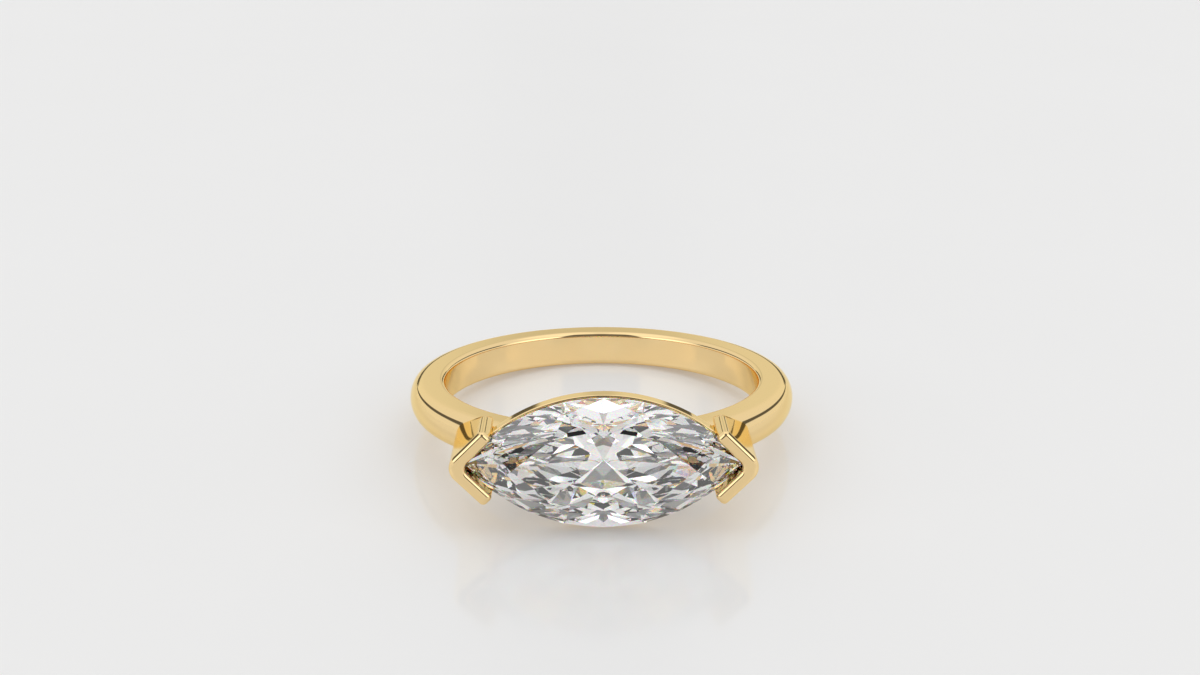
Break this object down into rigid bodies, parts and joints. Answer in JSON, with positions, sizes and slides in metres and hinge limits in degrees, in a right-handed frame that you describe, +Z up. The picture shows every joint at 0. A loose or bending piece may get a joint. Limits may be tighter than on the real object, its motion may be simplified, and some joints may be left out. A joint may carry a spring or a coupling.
{
  "type": "marquise engagement ring",
  "caption": "Solitaire ring: a D-section gold shank with a marquise brilliant set east-west, across the finger, between V prongs over a thin rail.",
  "frame": {"origin": "on the floor, below the middle of the ring's box, with the ring lying on its side as it rests by itself", "axes": "+Z up; the stone's table faces -Y, tipped a few degrees upward with the whole ring; X runs from tip to tip of the stone, and the left and right halves are alike"},
  "size_m": [0.0202, 0.0224, 0.0066],
  "materials": {
    "gold": "polished yellow gold, mirror bright all over",
    "stone": "colourless transparent brilliant cut stone with polished flat facets"
  },
  "bodies": {
    "root": {"ring_mount": "gold", "marquise_stone": "stone"}
  },
  "joints": []
}
